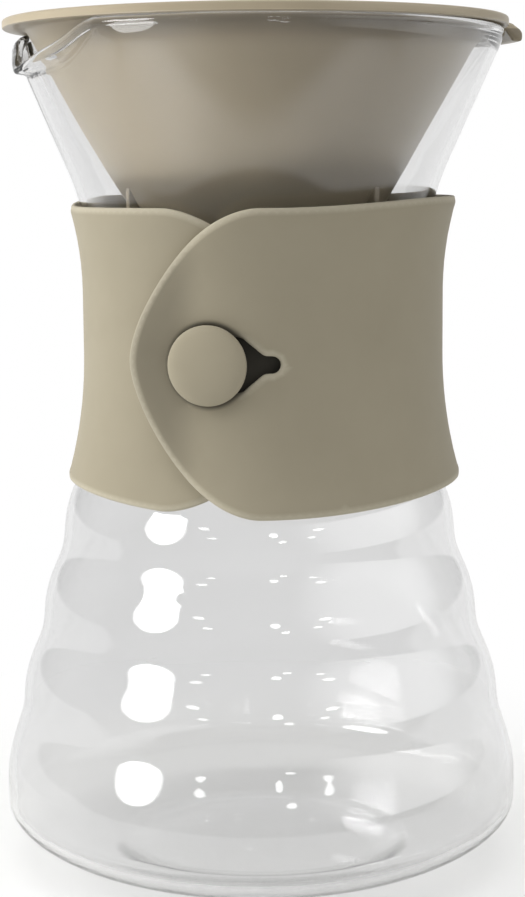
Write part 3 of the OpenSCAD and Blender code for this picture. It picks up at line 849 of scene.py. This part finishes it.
def strapOutline():  # the strap laid flat, in mm along it and up it
    span, n = sleeve["unrollRadius"] * math.pi / 180, sleeve["endRoundness"]
    left, right = sleeve["flapTip"] * span, sleeve["underTip"] * span
    ends = [(1 - math.cos(a) ** (2 / n), math.sin(a) ** (2 / n)) for a in np.linspace(0, math.pi / 2, 40)]
    profile = [(left + sleeve["flapEnd"] * run, high) for run, high in ends]
    profile += [(u, 1.0) for u in np.linspace(profile[-1][0], right - sleeve["underEnd"], 250)[1:-1]]
    profile += [(right - sleeve["underEnd"] * run, high) for run, high in ends[::-1]]
    lower, upper = [], []
    for u, high in profile:
        low, top = sleeveEdges(u / span)
        lower.append((u, sleeve["middle"] + (low - sleeve["middle"]) * high))
        upper.append((u, sleeve["middle"] + (top - sleeve["middle"]) * high))
    return resample(np.array(lower + upper[-2:0:-1]), sleeve["outlineStep"])


def holeOutline():  # the keyhole: a round opening that runs into a slot on its right
    half = sleeve["slotWidth"] / 2
    reach = sleeve["slotReach"] - half
    widest, halvings = 20.0, 40
    line = []
    for a in np.linspace(-math.pi, math.pi, 720, endpoint=False):
        a = a * abs(a / math.pi) ** 0.8  # closer together towards the slot
        low, high = 0.0, widest
        for _ in range(halvings):
            r = (low + high) / 2
            x, y = r * math.cos(a), r * math.sin(a)
            slot = math.hypot(x - clamp(x, 0, reach), y) - half
            taperLine = sleeve["shoulderSlope"] * x + abs(y) - sleeve["shoulderReach"]
            shoulder = max(taperLine / sleeve["shoulderSoftness"], abs(y) - sleeve["shoulderWidth"], -x)
            around = softMin(r - sleeve["holeRadius"], shoulder, sleeve["shoulderBlend"])
            if softMin(around, slot, sleeve["slotBlend"]) < 0:
                low = r
            else:
                high = r
        line.append((r * math.cos(a), r * math.sin(a)))
    middle = [buttonSpot["azimuth"] * math.pi / 180 * sleeve["unrollRadius"], buttonSpot["height"]]
    return resample(np.array(line), sleeve["holeStep"]) + np.array(middle)


def resample(line, step):
    loop = np.vstack([line, line[:1]])
    run = np.concatenate([[0], np.cumsum(np.linalg.norm(np.diff(loop, axis=0), axis=1))])
    spots = np.linspace(0, run[-1], max(8, int(run[-1] / step)), endpoint=False)
    return np.stack([np.interp(spots, run, loop[:, k]) for k in (0, 1)], axis=1)


def insideLoop(points, loop):
    x, y = points[:, 0][:, None], points[:, 1][:, None]
    x0, y0 = loop[:, 0], loop[:, 1]
    x1, y1 = np.roll(x0, -1), np.roll(y0, -1)
    crosses = ((y0 > y) != (y1 > y)) & (x < (x1 - x0) * (y - y0) / np.where(y1 == y0, 1e-9, y1 - y0) + x0)
    return crosses.sum(axis=1) % 2 == 1


def edgeDistance(points, loops):
    best = np.full(len(points), 1e9)
    for loop in loops:
        a, b = loop, np.roll(loop, -1, axis=0)
        for k in range(0, len(points), 500):
            p = points[k:k + 500][:, None, :]
            t = np.clip(((p - a) * (b - a)).sum(axis=2) / ((b - a) ** 2).sum(axis=1), 0, 1)
            d = np.linalg.norm(p - a - t[:, :, None] * (b - a), axis=2).min(axis=1)
            best[k:k + 500] = np.minimum(best[k:k + 500], d)
    return best


def edgeRows(outline, hole):  # rows of points beside both edges, where the surface rounds off
    edge = sleeve["edgeRounding"]
    rows = []
    for loop, side in ((outline, 1), (hole, -1)):  # both loops run counter-clockwise
        along = np.roll(loop, -1, axis=0) - np.roll(loop, 1, axis=0)
        along /= np.linalg.norm(along, axis=1)[:, None]
        inward = side * np.stack([-along[:, 1], along[:, 0]], axis=1)
        for share in sleeve["edgeRings"]:
            ring = loop + inward * edge * share
            keep = edgeDistance(ring, [outline, hole]) > edge * share * 0.97  # none where rows would cross
            rows.append(ring[keep][::1 if share < 0.5 else 2])
    return rows


def gridPoints(outline, hole):  # rows of points over the rest of the strap, each second row half a step on
    low, high = outline.min(axis=0), outline.max(axis=0)
    step = sleeve["grid"]
    gridU, gridZ = np.meshgrid(np.arange(low[0], high[0], step), np.arange(low[1], high[1], step))
    gridU = gridU + (np.arange(gridZ.shape[0]) % 2)[:, None] * step / 2
    spots = np.stack([gridU.ravel(), gridZ.ravel()], axis=1)
    spots = spots[insideLoop(spots, outline) & ~insideLoop(spots, hole)]
    return spots[edgeDistance(spots, [outline, hole]) > sleeve["edgeRounding"] + sleeve["gridGap"]]


def flatStrap(outline, hole):  # points and triangles of the strap laid flat
    extra = np.vstack(edgeRows(outline, hole) + [gridPoints(outline, hole)])
    extra = extra[insideLoop(extra, outline) & ~insideLoop(extra, hole)]
    flat = np.vstack([outline, hole, extra])
    n, m = len(outline), len(hole)
    border = [(i, (i + 1) % n) for i in range(n)] + [(n + i, n + (i + 1) % m) for i in range(m)]
    points, _, triangles, *_ = geometry.delaunay_2d_cdt([tuple(p) for p in flat], border, [], 0, 1e-5)
    flat, triangles = np.array([tuple(p) for p in points]), np.array([tuple(t) for t in triangles])
    centre = flat[triangles].mean(axis=1)
    return flat, triangles[insideLoop(centre, outline) & ~insideLoop(centre, hole)]


def makeSleeve():
    outline, hole = strapOutline(), holeOutline()
    flat, triangles = flatStrap(outline, hole)
    depth = edgeDistance(flat, [outline, hole])
    edge, half = sleeve["edgeRounding"], sleeve["thickness"] / 2
    rise = half * np.interp(depth / edge, *zip(*sleeve["edgeProfile"]))
    onEdge = depth < 1e-4
    liftFrom, (highlightStart, highlightFade) = sleeve["liftFrom"], sleeve["edgeHighlightWidth"]
    points, outer, inner, edgeHighlightMask, hollow = [], {}, {}, [], []
    for i, (u, z) in enumerate(flat):
        azimuth = u / sleeve["unrollRadius"]
        turn = math.degrees(azimuth) - 90
        shift = (sleeve["thickness"] + sleeve["layerGap"]) * (1 - clamp(turn / 180))
        curl = clamp((liftFrom - math.degrees(azimuth)) / (liftFrom - sleeve["flapTip"])) ** 2
        middle = wallRadius(z) + sleeve["clearance"] + half + shift + sleeve["flapLift"] * curl
        for side, table in ((1, outer), (-1, inner)):
            if side < 0 and onEdge[i]:
                inner[i] = outer[i]
                continue
            r = middle + side * rise[i]
            table[i] = len(points)
            points.append((r * math.sin(azimuth), -r * math.cos(azimuth), z))
            # painted highlight along the rounded edges
            edgeHighlightMask.append(1 - smoothStep((depth[i] / edge - highlightStart) / highlightFade))
            # painted shade behind the curl, on the outer side only
            shaded = smoothStep((sleeve["hollowFrom"] - math.degrees(azimuth)) / sleeve["hollowSpan"])
            hollow.append(shaded * (side > 0))
    faces = []
    for a, b, c in triangles:
        (ua, za), (ub, zb), (uc, zc) = flat[a], flat[b], flat[c]
        if (ub - ua) * (zc - za) - (zb - za) * (uc - ua) < 0:
            b, c = c, b
        faces += [(outer[a], outer[b], outer[c]), (inner[a], inner[c], inner[b])]
    strap = makeObject("siliconeSleeve", points, faces, siliconeMaterial)
    for name, values in (("edgeHighlightMask", edgeHighlightMask), ("hollow", hollow)):
        strap.data.attributes.new(name, "FLOAT", "POINT").data.foreach_set("value", values)
    return strap


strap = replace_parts(makeSleeve(), "silicone_sleeve")
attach(strap, "sleeve")
print("silicone sleeve made")


# Button

button = {
    "radius": 8.9,
    "edge": 1.2,
    "dome": 2.2,
    "roundness": 2.2,
    "headUnder": [(0.9, 0.0), (0.35, 0.12), (0.05, 0.5)],  # in from the edge of the head, up from below
    "headLift": 2.8,  # over the lower layer
    "stemRadius": 5.0,
    "stemChamfer": 0.3,
    "seat": 1.0,
}


def makeButton():
    head, radius, stem = button["headLift"], button["radius"], button["stemRadius"]
    foot, chamfer = -button["seat"], button["stemChamfer"]
    shoulder, power = head + button["edge"], 2 / button["roundness"]
    outline = [(0, foot), (stem - chamfer, foot), (stem, foot + chamfer), (stem, head)]
    outline += [(radius - into, head + up) for into, up in button["headUnder"]]
    for a in np.radians(np.linspace(0, 90, 22)):
        outline.append((radius * math.cos(a) ** power, shoulder + button["dome"] * math.sin(a) ** power))
    outline[-1] = (0, shoulder + button["dome"])
    points, faces = turnColumns([(a, outline) for a in np.arange(0, 360, 6)])
    piece = makeObject("sleeveButton", points, faces, buttonMaterial)
    seat = glass["neckRadius"] + sleeve["clearance"] + sleeve["thickness"]
    azimuth = math.radians(buttonSpot["azimuth"])
    spot = (seat * math.sin(azimuth), -seat * math.cos(azimuth), buttonSpot["height"])
    place = Matrix.Translation([v / 1000 for v in spot])
    piece.data.transform(place @ Matrix.Rotation(azimuth, 4, "Z") @ Matrix.Rotation(math.radians(90), 4, "X"))
    return piece


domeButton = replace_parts(makeButton(), "sleeve_button")
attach(domeButton, "sleeve")
print("button made")


# Stage, light and camera

studio = {
    "floor": "#f2f2f0",
    "floorHalf": 6.0,  # m
    "floorDrop": 0.0002,  # m below the foot
    "floorNear": 0.058,  # m from the axis: the floor under the jug is grey, and turns white around it
    "floorFar": 0.19,
    "floorShare": 0.3,
    "tableHalf": 0.31,  # m: what the glass mirrors in front is a lit table in a darker room
    "tableFront": 0.212,
    "tableRoundness": 3.0,
    "tableFade": (0.85, 1.15),
    "frontFade": (0.25, 0.75),
    "pastTable": 0.25,
    "wallsPassed": 2.5,  # seen straight through both walls of the jug, the floor stays white
    "throughGlass": 0.9,  # share of the floor's white that passes the glass
    "ambient": 0.27,
    "behind": 1.0,
    "frontRoom": 0.35,
    "roomFade": (-0.3, 0.35),
    "sideFlag": 0.58,
    "sideFade": (0.16, 0.7),
    "glow": 1.8,  # a soft light that the glass mirrors on its right
    "glowPlace": (70, 22),  # azimuth and elevation
    "glowFade": (0.65, 1.0),
    "aimHeight": 0.1,  # m above the table, where the lamps point
    "softLamps": [  # name, azimuth, elevation, distance, width, height, W
        ("softKey", -85, 25, 0.9, 0.5, 0.7, 8.2),
        ("sideFill", 56, 20, 1.0, 0.4, 0.6, 0.8),
        ("overhead", 0, 80, 1.0, 0.9, 0.9, 7.0),
    ],
    "glassDistance": 0.9,  # m, of the windows and glints
    "windowAzimuth": -57,
    "windows": [  # shape, elevation, width, height, W
        ("RECTANGLE", 20, 0.34, 0.24, 2.3),
        ("ELLIPSE", 16, 0.4, 0.46, 4.0),
    ],
    "glints": [  # azimuth, elevation, width, height
        (-33, 21, 0.10, 0.04),
        (-27, 12, 0.08, 0.03),
        (8, 16, 0.08, 0.08),
        (13, 9, 0.07, 0.04),
        (30, 12, 0.07, 0.03),
        (35, 19, 0.10, 0.04),
    ],
    "glintRadiance": 6.5,
    "bounces": [  # azimuth, distance, size, W
        (-55, 0.2, 0.14, 0.62),
        (52, 0.2, 0.1, 0.1),
    ],
    "bounceHeight": 0.004,
    "bounceAim": 0.17,  # m, the height on the cone that they point at
    "cameraPlace": (0.0009, -0.478, 0.1662),
    "cameraPitch": 81.98,
    "cameraRoll": -0.44,
    "cameraLens": 80.27,  # mm
    "cameraSensor": 36.0,
    "cameraReach": (0.05, 50.0),  # m, the nearest and farthest that it sees
}


def makeFloor():
    mesh = bpy.data.meshes.new("studioFloor")
    half = studio["floorHalf"]
    corners = [(-half, -half, 0), (half, -half, 0), (half, half, 0), (-half, half, 0)]
    mesh.from_pydata(corners, [], [(0, 1, 2, 3)])
    floor = bpy.data.objects.new("studioFloor", mesh)
    floor.location.z = -studio["floorDrop"]
    bpy.context.scene.collection.objects.link(floor)
    material, tree = newMaterial("paleStudioFloor")
    place = addNode(tree, "ShaderNodeTexCoord")
    reach = addNode(tree, "ShaderNodeVectorMath", {"operation": "LENGTH"}, {0: place.outputs["Object"]})
    fade = addNode(tree, "ShaderNodeMapRange", smooth, {
        0: reach.outputs["Value"], 1: studio["floorNear"], 2: studio["floorFar"],
        3: studio["floorShare"], 4: 1.0})
    path = addNode(tree, "ShaderNodeLightPath")
    seen = addNode(tree, "ShaderNodeMath", {"operation": "ADD", "use_clamp": True}, {
        0: path.outputs["Is Camera Ray"], 1: path.outputs["Is Glossy Ray"]})
    seenToo = addNode(tree, "ShaderNodeMath", {"operation": "ADD", "use_clamp": True}, {
        0: seen, 1: path.outputs["Is Transmission Ray"]})
    share = addNode(tree, "ShaderNodeMath", multiply, {0: fade, 1: seenToo})
    paint = addNode(tree, "ShaderNodeBsdfDiffuse", inputs={"Color": hexColor(studio["floor"])})
    through = addNode(tree, "ShaderNodeMapRange", inputs={
        0: path.outputs["Is Transmission Ray"], 3: 1.0, 4: studio["throughGlass"]})
    scaled = addNode(tree, "ShaderNodeVectorMath", multiply, {
        0: place.outputs["Object"], 1: (1 / studio["tableHalf"], 1 / studio["tableFront"], 0)})
    axes = addNode(tree, "ShaderNodeSeparateXYZ", inputs={0: scaled.outputs["Vector"]})
    across = addNode(tree, "ShaderNodeMath", {"operation": "ABSOLUTE"}, {0: axes.outputs["X"]})
    ahead = addNode(tree, "ShaderNodeMath", multiply, {0: axes.outputs["Y"], 1: -1.0})
    nearSide = addNode(tree, "ShaderNodeMath", {"operation": "MAXIMUM"}, {0: ahead, 1: 0.0})
    powers = [addNode(tree, "ShaderNodeMath", {"operation": "POWER"}, {0: v, 1: studio["tableRoundness"]})
              for v in (across, nearSide)]
    rounded = addNode(tree, "ShaderNodeMath", {"operation": "ADD"}, {0: powers[0], 1: powers[1]})
    tableFrom, tableTo = studio["tableFade"]
    beyond = addNode(tree, "ShaderNodeMapRange", smooth, {
        0: rounded, 1: tableFrom, 2: tableTo, 3: 0.0, 4: 1 - studio["pastTable"]})
    frontFrom, frontTo = studio["frontFade"]
    front = addNode(tree, "ShaderNodeMapRange", smooth, {
        0: nearSide, 1: frontFrom, 2: frontTo, 3: 0.0, 4: beyond})
    # Walls of glass passed so far; light off a matt surface counts as having passed none
    walls = addNode(tree, "ShaderNodeMath", {"operation": "MULTIPLY_ADD"}, {
        0: path.outputs["Diffuse Depth"], 1: -10.0, 2: path.outputs["Transmission Depth"]})
    oneWall = addNode(tree, "ShaderNodeMath", {"operation": "LESS_THAN"}, {
        0: walls, 1: studio["wallsPassed"]})
    dimmed = addNode(tree, "ShaderNodeMath", multiply, {0: front, 1: oneWall})
    kept = addNode(tree, "ShaderNodeMath", {"operation": "SUBTRACT"}, {0: 1.0, 1: dimmed})
    mirrored = addNode(tree, "ShaderNodeMath", multiply, {0: through, 1: kept})
    strength = addNode(tree, "ShaderNodeMix", {"data_type": "FLOAT"}, {
        0: path.outputs["Is Camera Ray"], 2: mirrored, 3: 1.0})
    white = addNode(tree, "ShaderNodeEmission", inputs={"Strength": strength})
    both = addNode(tree, "ShaderNodeMixShader", inputs={0: share, 1: paint, 2: white})
    addNode(tree, "ShaderNodeOutputMaterial", inputs={"Surface": both})
    mesh.materials.append(material)


def makeWorld():  # white behind the jug, greyer in front and at the sides, with a soft glow for the glass
    world = bpy.data.worlds.new("studioWorld")
    world.use_nodes = True
    tree = world.node_tree
    tree.nodes.clear()
    path = addNode(tree, "ShaderNodeLightPath")
    place = addNode(tree, "ShaderNodeTexCoord")
    parts = addNode(tree, "ShaderNodeSeparateXYZ", inputs={0: place.outputs["Generated"]})
    aside = addNode(tree, "ShaderNodeMath", {"operation": "ABSOLUTE"}, {0: parts.outputs["X"]})
    sideFrom, sideTo = studio["sideFade"]
    flag = addNode(tree, "ShaderNodeMapRange", smooth, {
        0: aside, 1: sideFrom, 2: sideTo, 3: 1.0, 4: studio["sideFlag"]})  # draws the edges of the glass
    roomFrom, roomTo = studio["roomFade"]
    behind = addNode(tree, "ShaderNodeMapRange", smooth, {
        0: parts.outputs["Y"], 1: roomFrom, 2: roomTo, 3: studio["frontRoom"], 4: studio["behind"]})
    room = addNode(tree, "ShaderNodeMath", multiply, {0: behind, 1: flag})
    a, e = (math.radians(v) for v in studio["glowPlace"])
    glowWay = (math.sin(a) * math.cos(e), -math.cos(a) * math.cos(e), math.sin(e))
    toward = addNode(tree, "ShaderNodeVectorMath", {"operation": "DOT_PRODUCT"}, {
        0: place.outputs["Generated"], 1: glowWay})
    glowFrom, glowTo = studio["glowFade"]
    glowShare = addNode(tree, "ShaderNodeMapRange", smooth, {
        0: toward.outputs["Value"], 1: glowFrom, 2: glowTo, 3: 0.0, 4: studio["glow"]})
    onGlossy = addNode(tree, "ShaderNodeMath", multiply, {0: glowShare, 1: path.outputs["Is Glossy Ray"]})
    lit = addNode(tree, "ShaderNodeMath", {"operation": "ADD"}, {0: room, 1: onGlossy})
    seen = addNode(tree, "ShaderNodeMath", {"operation": "ADD", "use_clamp": True}, {
        0: path.outputs["Is Glossy Ray"], 1: path.outputs["Is Transmission Ray"]})
    shaded = addNode(tree, "ShaderNodeMix", {"data_type": "FLOAT"}, {0: seen, 2: studio["ambient"], 3: lit})
    strength = addNode(tree, "ShaderNodeMix", {"data_type": "FLOAT"}, {
        0: path.outputs["Is Camera Ray"], 2: shaded, 3: 1.0})
    glow = addNode(tree, "ShaderNodeBackground", inputs={"Color": (1, 1, 1, 1), "Strength": strength})
    addNode(tree, "ShaderNodeOutputWorld", inputs={"Surface": glow})
    bpy.context.scene.world = world


def addLamp(name, azimuth, elevation, distance, width, height, power, shape="RECTANGLE"):  # aimed at the jug
    data = bpy.data.lights.new(name, "AREA")
    data.shape, data.size, data.size_y, data.energy = shape, width, height, power
    lamp = bpy.data.objects.new(name, data)
    a, e = math.radians(azimuth), math.radians(elevation)
    aim = Matrix.Translation((0, 0, studio["aimHeight"])) @ Matrix.Rotation(a, 4, "Z")
    lamp.matrix_world = aim @ Matrix.Rotation(math.pi / 2 - e, 4, "X") @ Matrix.Translation((0, 0, distance))
    lamp.visible_camera = False
    bpy.context.scene.collection.objects.link(lamp)
    return lamp


def makeLamps():
    for lamp in [addLamp(*values) for values in studio["softLamps"]]:
        lamp.visible_glossy = lamp.visible_transmission = False
    glassOnly = bpy.data.collections.new("glassOnly")  # the windows and glints show in the glass alone
    glassOnly.objects.link(decanter)
    away = studio["glassDistance"]
    for number, (shape, elevation, width, height, power) in enumerate(studio["windows"]):
        azimuth = studio["windowAzimuth"]
        lamp = addLamp(f"window{number}", azimuth, elevation, away, width, height, power, shape)
        lamp.light_linking.receiver_collection = glassOnly
    for number, (azimuth, elevation, width, height) in enumerate(studio["glints"]):
        power = studio["glintRadiance"] * math.pi * math.pi / 4 * width * height
        lamp = addLamp(f"glint{number}", azimuth, elevation, away, width, height, power, "ELLIPSE")
        lamp.light_linking.receiver_collection = glassOnly
    coneOnly = bpy.data.collections.new("coneOnly")  # the light that the table throws back
    coneOnly.objects.link(coneDripper)
    for number, (azimuth, distance, size, power) in enumerate(studio["bounces"]):
        lamp = addLamp(f"tableBounce{number}", azimuth, 0, distance, size, size, power)
        a = math.radians(azimuth)
        tip = math.radians(90) + math.atan2(studio["bounceAim"], distance)
        spot = (distance * math.sin(a), -distance * math.cos(a), studio["bounceHeight"])
        turn = Matrix.Rotation(a, 4, "Z") @ Matrix.Rotation(tip, 4, "X")
        lamp.matrix_world = Matrix.Translation(spot) @ turn
        lamp.light_linking.receiver_collection = coneOnly


def makeCamera():
    data = bpy.data.cameras.new("camera")
    data.sensor_width, data.lens = studio["cameraSensor"], studio["cameraLens"]
    data.clip_start, data.clip_end = studio["cameraReach"]
    camera = bpy.data.objects.new("camera", data)
    pitch = Matrix.Rotation(math.radians(studio["cameraPitch"]), 4, "X")
    roll = Matrix.Rotation(math.radians(studio["cameraRoll"]), 4, "Z")
    camera.matrix_world = Matrix.Translation(studio["cameraPlace"]) @ pitch @ roll
    bpy.context.scene.collection.objects.link(camera)
    bpy.context.scene.camera = camera


makeFloor()
makeWorld()
makeLamps()
makeCamera()
bpy.context.scene.view_settings.view_transform = "Standard"
print("stage, lamps and camera made")
